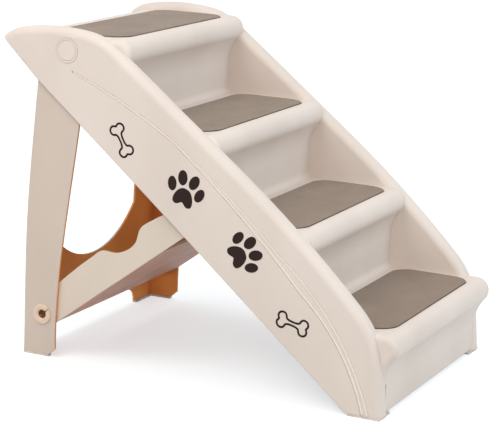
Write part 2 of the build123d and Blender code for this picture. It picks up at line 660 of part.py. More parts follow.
    with BuildPart() as bone_prints:
        with BuildSketch(Plane.YZ.offset(side * HALF_WIDTH)):
            for shrink, mode in ((0, Mode.ADD), (BONE_LINE, Mode.SUBTRACT)):
                for f, z, turn in BONE_PLACES_SHARE:
                    with Locations(Location((*pt(at((f, z))), 0), (0, 0, turn))):
                        Rectangle(BONE_LENGTH, SHANK_W - 2 * shrink, mode=mode)
                        with GridLocations(BONE_LENGTH, BONE_SPREAD, 2, 2):
                            Circle(KNOB_R - shrink, mode=mode)
        extrude(amount=side * PRINT_T)
    bone_prints.part.label = f"bone_prints_{word}"
    export_step(bone_prints.part, f"parts/bone_prints_{word}.step")
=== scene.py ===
"""Visual model of folding pet stairs: shell, mats, rear leg frame, brace, pins, pads and printed figures.

Metres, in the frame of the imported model: X across the stairs, -Y towards the low front step, +Z up.
"""

import logging
import math
import random
from dataclasses import dataclass
from enum import Enum

import bmesh
import bpy
from mathutils import Matrix, Vector, noise


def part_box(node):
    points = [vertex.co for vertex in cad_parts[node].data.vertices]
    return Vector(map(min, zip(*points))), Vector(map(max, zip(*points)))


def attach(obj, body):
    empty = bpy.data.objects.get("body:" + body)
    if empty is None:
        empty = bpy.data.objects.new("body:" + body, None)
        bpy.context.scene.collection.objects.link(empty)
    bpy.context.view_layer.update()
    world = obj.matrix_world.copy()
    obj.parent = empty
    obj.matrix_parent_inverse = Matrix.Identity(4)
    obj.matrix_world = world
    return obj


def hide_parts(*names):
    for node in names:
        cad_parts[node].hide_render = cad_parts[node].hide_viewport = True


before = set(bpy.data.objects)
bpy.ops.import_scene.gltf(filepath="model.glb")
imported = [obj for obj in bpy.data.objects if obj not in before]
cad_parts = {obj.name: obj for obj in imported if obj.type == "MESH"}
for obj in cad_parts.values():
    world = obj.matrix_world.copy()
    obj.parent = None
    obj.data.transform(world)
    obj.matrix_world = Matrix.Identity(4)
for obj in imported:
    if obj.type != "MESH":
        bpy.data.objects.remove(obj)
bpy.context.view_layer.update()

LOG = logging.getLogger("pet_stairs")

MILLIMETRE = 0.001

Colour = tuple[float, float, float]
Place = tuple[float, float, float]
Spot = tuple[float, float]
Range = tuple[float, float]
Node = bpy.types.Node
Socket = bpy.types.NodeSocket


class Side(Enum):
    """The two sides of the stairs, seen from the front."""

    LEFT = -1
    RIGHT = 1


class ShadedFaces(Enum):
    """Which faces of a moulding get painted shade: a warm brown tone that stands in for the shadow inside the
    moulding.
    """

    NONE = "none"
    PANEL = "panel"
    CHANNEL = "channel"


class Detail(Enum):
    """How many octaves a noise has."""

    PLAIN = 2.0
    MIXED = 3.0
    RICH = 4.0
    FULL = 5.0


def tone(red: int, green: int, blue: int) -> Colour:
    """Turns a screen colour into linear light.

    Args:
        red: 0 to 255.
        green: 0 to 255.
        blue: 0 to 255.

    Returns:
        The three linear values.
    """
    linear = []
    for part in (red, green, blue):
        share = part / 255
        linear.append(share / 12.92 if share <= 0.04045 else ((share + 0.055) / 1.055) ** 2.4)
    return (linear[0], linear[1], linear[2])


def tinted(colour: Colour, shares: Colour, lift: float = 0.0) -> Colour:
    """Scales a colour.

    Args:
        colour: the colour.
        shares: a factor for each part.
        lift: what is added to each part.

    Returns:
        The new colour, no part over 1.
    """
    red, green, blue = (min(1.0, part * share + lift) for part, share in zip(colour, shares))
    return (red, green, blue)


class Recipe:
    """A material's node tree, built step by step."""

    mix_colours: tuple[int, int] = (6, 7)
    mix_result: int = 2
    bevel_samples: int = 4
    edge_facing: Range = (0.995, 0.8)
    fade_share: float = 0.94

    def __init__(self, name: str) -> None:
        """Starts an empty tree with a Principled shader.

        Args:
            name: the material's name.
        """
        self.material = bpy.data.materials.new(name)
        self.material.use_nodes = True
        self.tree = self.material.node_tree
        self.tree.nodes.clear()
        self.shader = self.tree.nodes.new("ShaderNodeBsdfPrincipled")
        output = self.tree.nodes.new("ShaderNodeOutputMaterial")
        self.tree.links.new(self.shader.outputs["BSDF"], output.inputs["Surface"])
        self.place = self.tree.nodes.new("ShaderNodeTexCoord")

    def link(self, source: Socket, target: Socket) -> None:
        """Joins two sockets."""
        self.tree.links.new(source, target)

    def noise(
        self, scale: float, detail: Detail, stretch: Place = (1.0, 1.0, 1.0), rough: float = 0.5
    ) -> Socket:
        """Adds a noise over the object.

        Args:
            scale: waves to a metre.
            detail: how many octaves.
            stretch: how far each axis is drawn out.
            rough: how strong the fine octaves are.

        Returns:
            The noise value.
        """
        mapping = self.tree.nodes.new("ShaderNodeMapping")
        mapping.inputs["Scale"].default_value = stretch
        self.link(self.place.outputs["Object"], mapping.inputs["Vector"])
        node = self.tree.nodes.new("ShaderNodeTexNoise")
        node.inputs["Scale"].default_value = scale
        node.inputs["Detail"].default_value = detail.value
        node.inputs["Roughness"].default_value = rough
        self.link(mapping.outputs["Vector"], node.inputs["Vector"])
        return node.outputs["Fac"]

    def cells(self, scale: float) -> Socket:
        """Adds small rounded cells.

        Args:
            scale: cells to a metre.

        Returns:
            The distance to the nearest cell's middle.
        """
        node = self.tree.nodes.new("ShaderNodeTexVoronoi")
        node.inputs["Scale"].default_value = scale
        self.link(self.place.outputs["Object"], node.inputs["Vector"])
        return node.outputs["Distance"]

    def between(self, value: Socket, source: Range, target: Range = (0.0, 1.0)) -> Socket:
        """Maps a value from one range to another and clamps it.

        Args:
            value: the value.
            source: start and end of its range.
            target: result at the start and at the end.

        Returns:
            The mapped value.
        """
        node = self.tree.nodes.new("ShaderNodeMapRange")
        for socket, number in zip(("From Min", "From Max", "To Min", "To Max"), (*source, *target)):
            node.inputs[socket].default_value = number
        self.link(value, node.inputs["Value"])
        return node.outputs["Result"]

    def compute(self, kind: str, first: Socket, second: Socket | float, clamp: bool = True) -> Socket:
        """Adds a math node.

        Args:
            kind: Blender's name of the operation.
            first: the first value.
            second: the second value, a socket or a number.
            clamp: whether the result is kept between 0 and 1.

        Returns:
            The result.
        """
        node = self.tree.nodes.new("ShaderNodeMath")
        node.operation = kind
        node.use_clamp = clamp
        self.link(first, node.inputs[0])
        if isinstance(second, (int, float)):
            node.inputs[1].default_value = float(second)
        else:
            self.link(second, node.inputs[1])
        return node.outputs["Value"]

    def blend(self, share: Socket, first: Socket | Colour, second: Socket | Colour) -> Socket:
        """Mixes two colours.

        Args:
            share: 0 for the first, 1 for the second.
            first: a colour or a socket.
            second: a colour or a socket.

        Returns:
            The mixed colour.
        """
        node = self.tree.nodes.new("ShaderNodeMix")
        node.data_type = "RGBA"
        self.link(share, node.inputs[0])
        for index, colour in zip(self.mix_colours, (first, second)):
            if isinstance(colour, tuple):
                node.inputs[index].default_value = (*colour, 1.0)
            else:
                self.link(colour, node.inputs[index])
        return node.outputs[self.mix_result]

    def split(self, vector: Socket) -> tuple[Socket, Socket, Socket]:
        """Splits a vector into its three parts."""
        node = self.tree.nodes.new("ShaderNodeSeparateXYZ")
        self.link(vector, node.inputs["Vector"])
        return node.outputs["X"], node.outputs["Y"], node.outputs["Z"]

    def around(self, place: Spot, radius: float) -> Socket:
        """Marks what lies near a line along X.

        Args:
            place: the line's Y and Z.
            radius: how far the mark reaches, in metres.

        Returns:
            1 near the line and 0 outside the radius.
        """
        _, place_y, place_z = self.split(self.place.outputs["Object"])
        flat = self.tree.nodes.new("ShaderNodeCombineXYZ")
        self.link(place_y, flat.inputs["Y"])
        self.link(place_z, flat.inputs["Z"])
        apart = self.tree.nodes.new("ShaderNodeVectorMath")
        apart.operation = "DISTANCE"
        self.link(flat.outputs["Vector"], apart.inputs[0])
        apart.inputs[1].default_value = (0.0, *place)
        return self.between(apart.outputs["Value"], (radius, radius * self.fade_share))

    def rounded(self, radius: float) -> tuple[Socket, Socket]:
        """Rounds the shading of sharp edges.

        Args:
            radius: edge radius in metres.

        Returns:
            The rounded normal, and a mask that is 1 on the edges.
        """
        bevel = self.tree.nodes.new("ShaderNodeBevel")
        bevel.samples = self.bevel_samples
        bevel.inputs["Radius"].default_value = radius
        geometry = self.tree.nodes.new("ShaderNodeNewGeometry")
        turn = self.tree.nodes.new("ShaderNodeVectorMath")
        turn.operation = "DOT_PRODUCT"
        self.link(bevel.outputs["Normal"], turn.inputs[0])
        self.link(geometry.outputs["Normal"], turn.inputs[1])
        return bevel.outputs["Normal"], self.between(turn.outputs["Value"], self.edge_facing)

    def bump(self, height: Socket, distance: float, strength: float, base: Socket | None = None) -> Socket:
        """Adds a bump.

        Args:
            height: the height value.
            distance: its depth in metres.
            strength: 0 to 1.
            base: the normal below it.

        Returns:
            The new normal.
        """
        node = self.tree.nodes.new("ShaderNodeBump")
        node.inputs["Distance"].default_value = distance
        node.inputs["Strength"].default_value = strength
        self.link(height, node.inputs["Height"])
        if base is not None:
            self.link(base, node.inputs["Normal"])
        return node.outputs["Normal"]


@dataclass(frozen=True)
class MouldedPlastic:
    """Satin moulded plastic with a fine spark-eroded grain and faint flow marks; its edges carry a painted
    highlight, and chosen faces painted shade.
    """

    name: str
    colour: Colour
    # Painted shade: the warm brown colour given to faces that look into the moulding and to bores, standing in
    # for the shadow there.
    painted_shade: Colour = (0.3, 0.1, 0.02)
    skin: ShadedFaces = ShadedFaces.NONE
    shade_side: Range = (-0.02, -0.06)
    shade_facing: Range = (-0.35, -0.65)
    # Random mottling of the painted shade, between a darker and the full tone.
    shade_mottle_waves: float = 11.0
    shade_mottle_range: Range = (0.3, 0.7)
    shade_mottle_shares: Colour = (0.84, 0.8, 0.78)
    roughness: float = 0.44
    gloss_waves: float = 26.0
    gloss_range: Range = (0.3, 0.7)
    gloss_swing: Range = (-0.05, 0.06)
    specular: float = 0.25
    sheen: float = 0.04
    flow_waves: float = 7.0
    flow_stretch: Place = (1.0, 1.0, 0.45)
    flow_range: Range = (0.35, 0.65)
    deep_shares: Colour = (0.955, 0.945, 0.93)
    clear_shares: Colour = (1.03, 1.03, 1.03)
    speck: Colour = tone(150, 128, 108)
    speck_waves: float = 900.0
    speck_range: Range = (0.62, 0.74)
    speck_strength: float = 0.1
    ripple_waves: float = 16.0
    ripple_depth: float = 0.0006
    ripple_strength: float = 0.22
    grain: float = 1500.0
    grain_depth: float = 0.00008
    grain_strength: float = 0.45
    edge_radius: float = 0.0014
    # Painted highlight: how far edges are mixed toward a lighter copy of the colour.
    edge_highlight: float = 0.35
    highlight_shares: Colour = (1.16, 1.09, 1.03)
    # Painted shade in a bore: near this line along X the colour turns to the painted shade colour.
    bore_shade_place: Spot | None = None
    bore_shade_radius: float = 0.0

    def inward_shade_mask(self, recipe: Recipe) -> Socket:
        """Marks the faces that look into the moulding, which get painted shade.

        Args:
            recipe: the material's tree.

        Returns:
            1 on those faces and 0 on the outer ones.
        """
        turn_x, turn_y, turn_z = recipe.split(recipe.place.outputs["Normal"])
        place_x, _, _ = recipe.split(recipe.place.outputs["Object"])
        across = recipe.compute("MULTIPLY", turn_x, place_x, clamp=False)
        facing = turn_y if self.skin is ShadedFaces.PANEL else turn_z
        from_sides = recipe.between(across, self.shade_side)
        return recipe.compute("MAXIMUM", from_sides, recipe.between(facing, self.shade_facing))

    def build(self) -> bpy.types.Material:
        """Builds the material.

        Returns:
            The Blender material.
        """
        recipe = Recipe(self.name)
        flow = recipe.between(recipe.noise(self.flow_waves, Detail.RICH, self.flow_stretch), self.flow_range)
        deep, clear = tinted(self.colour, self.deep_shares), tinted(self.colour, self.clear_shares)
        colour = recipe.blend(flow, deep, clear)
        specks = recipe.between(recipe.noise(self.speck_waves, Detail.PLAIN), self.speck_range)
        colour = recipe.blend(recipe.compute("MULTIPLY", specks, self.speck_strength), colour, self.speck)
        normal, edge = recipe.rounded(self.edge_radius)
        # Painted shade: the bore is darkened to the warm brown.
        if self.bore_shade_place is not None:
            colour = recipe.blend(recipe.around(self.bore_shade_place, self.bore_shade_radius), colour, self.painted_shade)
        # Painted shade: faces that look into the moulding take a mottled warm brown instead of the base colour.
        if self.skin is not ShadedFaces.NONE:
            shade_mottle = recipe.between(recipe.noise(self.shade_mottle_waves, Detail.MIXED), self.shade_mottle_range)
            painted_shade = recipe.blend(shade_mottle, tinted(self.painted_shade, self.shade_mottle_shares), self.painted_shade)
            colour = recipe.blend(self.inward_shade_mask(recipe), colour, painted_shade)
        # Painted highlight: edges found by the bevel are mixed toward a lighter colour.
        highlight = tinted(self.colour, self.highlight_shares)
        colour = recipe.blend(recipe.compute("MULTIPLY", edge, self.edge_highlight), colour, highlight)
        recipe.link(colour, recipe.shader.inputs["Base Color"])
        glossy, dull = (self.roughness + swing for swing in self.gloss_swing)
        patches = recipe.noise(self.gloss_waves, Detail.RICH)
        gloss = recipe.between(patches, self.gloss_range, (glossy, dull))
        recipe.link(gloss, recipe.shader.inputs["Roughness"])
        ripple = recipe.noise(self.ripple_waves, Detail.PLAIN)
        rippled = recipe.bump(ripple, self.ripple_depth, self.ripple_strength, normal)
        fine = recipe.bump(recipe.noise(self.grain, Detail.PLAIN), self.grain_depth, self.grain_strength, rippled)
        recipe.link(fine, recipe.shader.inputs["Normal"])
        recipe.shader.inputs["Specular IOR Level"].default_value = self.specular
        recipe.shader.inputs["Sheen Weight"].default_value = self.sheen
        return recipe.material


@dataclass(frozen=True)
class Rubber:
    """Matt moulded rubber with a pebbled skin."""

    name: str
    colour: Colour
    dust_waves: float = 60.0
    dust_range: Range = (0.35, 0.7)
    dust_shares: Colour = (1.35, 1.35, 1.35)
    dust_lift: float = 0.01
    edge_radius: float = 0.0006
    pebbles: float = 900.0
    pebble_depth: float = 0.0002
    pebble_strength: float = 0.5
    roughness: Range = (0.72, 0.86)
    specular: float = 0.3

    def build(self) -> bpy.types.Material:
        """Builds the material.

        Returns:
            The Blender material.
        """
        recipe = Recipe(self.name)
        dust = recipe.between(recipe.noise(self.dust_waves, Detail.FULL), self.dust_range)
        pale = tinted(self.colour, self.dust_shares, self.dust_lift)
        recipe.link(recipe.blend(dust, self.colour, pale), recipe.shader.inputs["Base Color"])
        normal, _ = recipe.rounded(self.edge_radius)
        skin = recipe.bump(recipe.cells(self.pebbles), self.pebble_depth, self.pebble_strength, normal)
        recipe.link(skin, recipe.shader.inputs["Normal"])
        recipe.link(recipe.between(dust, (0.0, 1.0), self.roughness), recipe.shader.inputs["Roughness"])
        recipe.shader.inputs["Specular IOR Level"].default_value = self.specular
        return recipe.material


@dataclass(frozen=True)
class PilePlush:
    """Short needled pile: flecked fibres, brushed patches and a soft sheen; its steep sides are painted darker as
    shade.
    """

    name: str
    colour: Colour
    fleck_light: Colour
    fleck_dark: Colour
    # Painted shade: the colour of the mat's steep sides.
    side: Colour
    brushed_waves: float = 22.0
    brushed_stretch: Place = (0.6, 1.0, 1.0)
    brushed_range: Range = (0.36, 0.66)
    brushed_shares: Colour = (0.84, 0.83, 0.82)
    light_waves: float = 1500.0
    light_range: Range = (0.54, 0.68)
    light_strength: float = 0.5
    dark_waves: float = 1100.0
    dark_stretch: Place = (1.3, 0.8, 1.0)
    dark_range: Range = (0.56, 0.7)
    dark_strength: float = 0.55
    fleck_rough: float = 0.7
    side_shade_facing: Range = (0.86, 0.6)
    fibre_waves: float = 1700.0
    fibre_depth: float = 0.0006
    fibre_strength: float = 0.6
    fibre_rough: float = 0.75
    roughness: float = 0.93
    specular: float = 0.12
    sheen: float = 0.22
    sheen_roughness: float = 0.5

    def build(self) -> bpy.types.Material:
        """Builds the material.

        Returns:
            The Blender material.
        """
        recipe = Recipe(self.name)
        even = (1.0, 1.0, 1.0)
        patches = recipe.noise(self.brushed_waves, Detail.RICH, self.brushed_stretch)
        brushed = recipe.between(patches, self.brushed_range)
        colour = recipe.blend(brushed, tinted(self.colour, self.brushed_shares), self.colour)
        light = recipe.noise(self.light_waves, Detail.MIXED, even, self.fleck_rough)
        light = recipe.between(light, self.light_range)
        light = recipe.compute("MULTIPLY", light, self.light_strength)
        colour = recipe.blend(light, colour, self.fleck_light)
        dark = recipe.noise(self.dark_waves, Detail.MIXED, self.dark_stretch, self.fleck_rough)
        dark = recipe.between(dark, self.dark_range)
        dark = recipe.compute("MULTIPLY", dark, self.dark_strength)
        colour = recipe.blend(dark, colour, self.fleck_dark)
        # Painted shade: steep side faces of the mat turn to the darker side colour.
        _, _, turn_z = recipe.split(recipe.place.outputs["Normal"])
        colour = recipe.blend(recipe.between(turn_z, self.side_shade_facing), colour, self.side)
        recipe.link(colour, recipe.shader.inputs["Base Color"])
        fibres = recipe.noise(self.fibre_waves, Detail.RICH, even, self.fibre_rough)
        raised = recipe.bump(fibres, self.fibre_depth, self.fibre_strength)
        recipe.link(raised, recipe.shader.inputs["Normal"])
        recipe.shader.inputs["Roughness"].default_value = self.roughness
        recipe.shader.inputs["Specular IOR Level"].default_value = self.specular
        recipe.shader.inputs["Sheen Weight"].default_value = self.sheen
        recipe.shader.inputs["Sheen Roughness"].default_value = self.sheen_roughness
        return recipe.material


@dataclass(frozen=True)
class PrintInk:
    """Thick printed ink, slightly uneven in cover and gloss."""

    name: str
    colour: Colour
    cover_waves: float = 220.0
    cover_range: Range = (0.3, 0.75)
    thin_shares: Colour = (1.3, 1.3, 1.3)
    thin_lift: float = 0.002
    roughness: Range = (0.38, 0.55)
    grain: float = 1400.0
    grain_depth: float = 0.00005
    grain_strength: float = 0.4
    specular: float = 0.16

    def build(self) -> bpy.types.Material:
        """Builds the material.

        Returns:
            The Blender material.
        """
        recipe = Recipe(self.name)
        cover = recipe.between(recipe.noise(self.cover_waves, Detail.FULL), self.cover_range)
        thin = tinted(self.colour, self.thin_shares, self.thin_lift)
        recipe.link(recipe.blend(cover, self.colour, thin), recipe.shader.inputs["Base Color"])
        recipe.link(recipe.between(cover, (0.0, 1.0), self.roughness), recipe.shader.inputs["Roughness"])
        grain = recipe.bump(recipe.noise(self.grain, Detail.PLAIN), self.grain_depth, self.grain_strength)
        recipe.link(grain, recipe.shader.inputs["Normal"])
        recipe.shader.inputs["Specular IOR Level"].default_value = self.specular
        return recipe.material


# Painted highlight on the edges of the shell and the caps, stronger than on the other mouldings.
SHELL_CREAM = MouldedPlastic("shell_cream", tone(222, 209, 199), edge_radius=0.0022, edge_highlight=0.8)
# Painted highlight: the band beads wear a lighter copy of the shell's cream.
BAND_HIGHLIGHT_CREAM = MouldedPlastic("band_highlight_cream", tone(240, 228, 218), edge_highlight=0.0)
CAP_CREAM = MouldedPlastic("cap_cream", tone(224, 211, 201), edge_highlight=0.8)
# Painted shade: the frame's faces turned to the front and inwards, and the brace's faces turned down and inwards,
# take a warm brown.
FRAME_BEIGE = MouldedPlastic("frame_beige", tone(207, 192, 179), tone(246, 162, 86), ShadedFaces.PANEL)
BRACE_BEIGE = MouldedPlastic("brace_beige", tone(218, 204, 189), tone(206, 138, 102), ShadedFaces.CHANNEL)
PIN_BEIGE = MouldedPlastic("pin_beige", tone(205, 190, 174), roughness=0.4)
# Painted shade in the snap pin's bore, and a painted highlight on its edges.
SNAP_TAN = MouldedPlastic(
    "snap_tan",
    tone(224, 200, 176),
    tone(124, 76, 46),
    edge_highlight=0.7,
    roughness=0.36,
    bore_shade_place=(0.25241, 0.065),
    bore_shade_radius=0.0066,
)
FOOT_RUBBER = Rubber("foot_rubber", tone(204, 192, 179))
BACKING_RUBBER = Rubber("backing_rubber", tone(72, 64, 58))
# The last colour is painted shade for the mats' sides.
TAUPE_PILE = PilePlush(
    "taupe_pile", tone(139, 118, 100), tone(184, 163, 141), tone(88, 74, 64), tone(70, 60, 53)
)
DARK_INK = PrintInk("dark_ink", tone(36, 21, 17))
BONE_INK = PrintInk("bone_ink", tone(34, 19, 13))


def dress(node: str, material: bpy.types.Material) -> None:
    """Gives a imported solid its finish.

    Args:
        node: the solid's name.
        material: the finish.
    """
    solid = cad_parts[node]
    solid.data.materials.clear()
    solid.data.materials.append(material)
    LOG.info("%s wears %s", node, material.name)


def add_piece(name: str, mesh: bmesh.types.BMesh, smooth: bool) -> bpy.types.Object:
    """Turns a finished mesh into a piece of the scene.

    Args:
        name: the piece's name.
        mesh: the mesh, which is freed.
        smooth: whether its faces are shaded smooth.

    Returns:
        The piece.
    """
    data = bpy.data.meshes.new(name)
    mesh.to_mesh(data)
    mesh.free()
    if smooth:
        data.shade_smooth()
    piece = bpy.data.objects.new(name, data)
    bpy.context.scene.collection.objects.link(piece)
    return piece


@dataclass
class StairShell:
    """The moulded stairs with hinge pins, caps, printed figures and the beads along the pressed bands.

    The places of bones are the shares of the wall's length and of the height, and the turn in degrees.
    """

    wall_length: float = 0.627
    height: float = 0.5
    front: float = -0.3075
    sole: float = 0.003
    band_floor: float = 0.1987
    bead_height: float = 0.0007
    bead_half_low: float = 0.0022
    bead_half_high: float = 0.0009
    bead_gap: float = 0.0001
    bead_taper: float = 0.0015
    bead_tip_share: float = 0.05
    bead_sides: int = 8
    line_pitch: float = 0.003
    arc_steps: int = 8
    low_line_shares: tuple[Spot, ...] = (
        (0.054, 0.0), (0.092, 0.132), (0.212, 0.324), (0.383, 0.538), (0.539, 0.703), (0.682, 0.803),
        (0.808, 0.873),
    )
    high_line_shares: tuple[Spot, ...] = (
        (0.034, 0.0), (0.103, 0.202), (0.264, 0.425), (0.394, 0.574), (0.54, 0.713), (0.68, 0.811),
        (0.81, 0.88),
    )
    bone_line: float = 0.0031
    bone_skin: float = 0.00028
    bone_profile_shares: tuple[Spot, ...] = ((-0.5, 0.0), (-0.42, 1.0), (0.42, 1.0), (0.5, 0.0))
    bone_steps: int = 6
    bone_quarter: tuple[Spot, ...] = (
        (0.0, 2.7), (5.6, 3.0), (9.9, 4.6), (11.6, 8.2), (13.9, 10.9), (17.3, 11.7), (20.9, 10.5),
        (23.2, 7.6), (23.6, 4.4), (22.4, 1.7), (21.6, 0.0),
    )
    bone_places: tuple[Place, ...] = ((0.674, 0.695, 62.0), (0.2277, 0.2375, 14.0))
    bead_highlight_plastic: MouldedPlastic = BAND_HIGHLIGHT_CREAM
    plastic: MouldedPlastic = SHELL_CREAM
    cap_plastic: MouldedPlastic = CAP_CREAM
    pin_plastic: MouldedPlastic = PIN_BEIGE
    paw_ink: PrintInk = DARK_INK
    bone_ink: PrintInk = BONE_INK

    def build(self) -> None:
        """Dresses the shell and what is fixed to it."""
        dress("stair_body", self.plastic.build())
        cap, pin = self.cap_plastic.build(), self.pin_plastic.build()
        paw, bone = self.paw_ink.build(), self.bone_ink.build()
        for side in Side:
            word = side.name.lower()
            dress(f"hinge_cap_{word}", cap)
            dress(f"hinge_pin_{word}", pin)
            dress(f"paw_prints_{word}", paw)
            bones = self.bones(f"bone_outlines_{word}", side)
            bones.data.materials.append(bone)
            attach(bones, "stairs")
            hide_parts(f"bone_prints_{word}")
        # Painted highlight: the beads are a lighter cream than the shell.
        band = self.bead_highlight_plastic.build()
        edges = (("low", self.low_line_shares, 1), ("high", self.high_line_shares, -1))
        for side in Side:
            for edge, line, inwards in edges:
                bead = self.bead(f"band_bead_{edge}_{side.name.lower()}", side, line, inwards)
                bead.data.materials.append(band)
                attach(bead, "stairs")

    def bone_loop(self) -> list[Vector]:
        """Draws the closed middle line of a bone figure, with waisted shank and round knobs.

        Returns:
            Close places along it in metres, around the bone's middle.
        """
        quarter = [Vector(knot) * MILLIMETRE for knot in self.bone_quarter]
        half = quarter + [Vector((knot.x, -knot.y)) for knot in reversed(quarter[1:-1])]
        half.append(Vector((quarter[0].x, -quarter[0].y)))
        knots = half + [Vector((-knot.x, knot.y)) for knot in reversed(half[1:-1])]
        places = []
        count = len(knots)
        for index in range(count):
            a, b, c, d = (knots[(index + shift) % count] for shift in (-1, 0, 1, 2))
            for step in range(self.bone_steps):
                t = step / self.bone_steps
                square, cube = 2 * a - 5 * b + 4 * c - d, 3 * b - 3 * c + d - a
                places.append(0.5 * (2 * b + (c - a) * t + square * t**2 + cube * t**3))
        return places

    def bones(self, name: str, side: Side) -> bpy.types.Object:
        """Builds the two printed bone outlines of one side as raised ink.

        Args:
            name: the piece's name.
            side: the side of the stairs.

        Returns:
            The piece.
        """
        low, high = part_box(f"bone_prints_{side.name.lower()}")
        face = low[0] if side is Side.RIGHT else high[0]
        loop = self.bone_loop()
        count = len(loop)
        mesh = bmesh.new()
        for share_y, share_z, degrees in self.bone_places:
            middle = Vector((self.front + share_y * self.wall_length, share_z * self.height))
            turn = math.radians(degrees)
            along = Vector((math.cos(turn), math.sin(turn)))
            across = Vector((-along.y, along.x))
            rings = []
            for index, place in enumerate(loop):
                ahead = (loop[(index + 1) % count] - loop[index - 1]).normalized()
                outwards = Vector((-ahead.y, ahead.x))
                ring = []
                for shift, rise in self.bone_profile_shares:
                    flat = place + outwards * shift * self.bone_line
                    spot = middle + along * flat.x + across * flat.y
                    ring.append(mesh.verts.new((face + side.value * rise * self.bone_skin, spot.x, spot.y)))
                rings.append(ring)
            for here, there in zip(rings, rings[1:] + rings[:1]):
                for step in range(len(here)):
                    after = (step + 1) % len(here)
                    mesh.faces.new((here[step], here[after], there[after], there[step]))
        bmesh.ops.recalc_face_normals(mesh, faces=mesh.faces)
        return add_piece(name, mesh, smooth=False)

    def run(self, line: tuple[Spot, ...]) -> list[Vector]:
        """Follows a band's edge along its arcs.

        Args:
            line: the edge's points, as shares of the wall's length and the height.

        Returns:
            Close places along it, as Y and Z.
        """
        knots = [
            Vector((self.front + share_y * self.wall_length, share_z * self.height or self.sole))
            for share_y, share_z in line
        ]
        places = [knots[0]]
        for start, middle, end in zip(knots[::2], knots[1::2], knots[2::2]):
            centre, radius = self.circle(start, middle, end)
            first = math.atan2(start.y - centre.y, start.x - centre.x)
            last = math.atan2(end.y - centre.y, end.x - centre.x)
            sweep = (last - first + math.pi) % (2 * math.pi) - math.pi
            steps = max(self.arc_steps, round(abs(sweep) * radius / self.line_pitch))
            for step in range(1, steps + 1):
                turn = first + sweep * step / steps
                places.append(centre + radius * Vector((math.cos(turn), math.sin(turn))))
        return places

    def circle(self, first: Vector, second: Vector, third: Vector) -> tuple[Vector, float]:
        """Finds the circle through three places.

        Args:
            first: a place.
            second: a place.
            third: a place.

        Returns:
            Its centre and radius.
        """
        a, b = second - first, third - first
        twice = 2 * (a.x * b.y - a.y * b.x)
        shift = Vector((b.y * a.dot(a) - a.y * b.dot(b), a.x * b.dot(b) - b.x * a.dot(a))) / twice
        return first + shift, shift.length

    def bead(self, name: str, side: Side, line: tuple[Spot, ...], inwards: int) -> bpy.types.Object:
        """Builds one rounded bead inside a pressed band, along one of its edges.

        Args:
            name: the piece's name.
            side: the side of the stairs.
            line: the band's edge.
            inwards: 1 where the band lies to the left of the line, -1 where it lies to the right.

        Returns:
            The bead.
        """
        places = self.run(line)
        lengths = [0.0]
        for here, there in zip(places, places[1:]):
            lengths.append(lengths[-1] + (there - here).length)
        mesh = bmesh.new()
        rings = []
        for index, place in enumerate(places):
            ahead = (places[min(index + 1, len(places) - 1)] - places[max(index - 1, 0)]).normalized()
            across = Vector((-ahead.y, ahead.x)) * inwards
            share = lengths[index] / lengths[-1]
            half = self.bead_half_low + (self.bead_half_high - self.bead_half_low) * share
            room = min(1.0, (lengths[-1] - lengths[index]) / self.bead_taper)
            rise = self.bead_height * max(self.bead_tip_share, math.sin(room * math.pi / 2))
            ring = []
            for step in range(self.bead_sides + 1):
                turn = math.pi * step / self.bead_sides
                flat = place + across * (half + self.bead_gap - half * math.cos(turn))
                out = self.band_floor + rise * math.sin(turn)
                ring.append(mesh.verts.new((side.value * out, flat.x, flat.y)))
            rings.append(ring)
        for here, there in zip(rings, rings[1:]):
            for step in range(self.bead_sides):
                mesh.faces.new((here[step], here[step + 1], there[step + 1], there[step]))
            mesh.faces.new((here[-1], here[0], there[0], there[-1]))
        mesh.faces.new(rings[0])
        mesh.faces.new(rings[-1])
        bmesh.ops.recalc_face_normals(mesh, faces=mesh.faces)
        return add_piece(name, mesh, smooth=True)


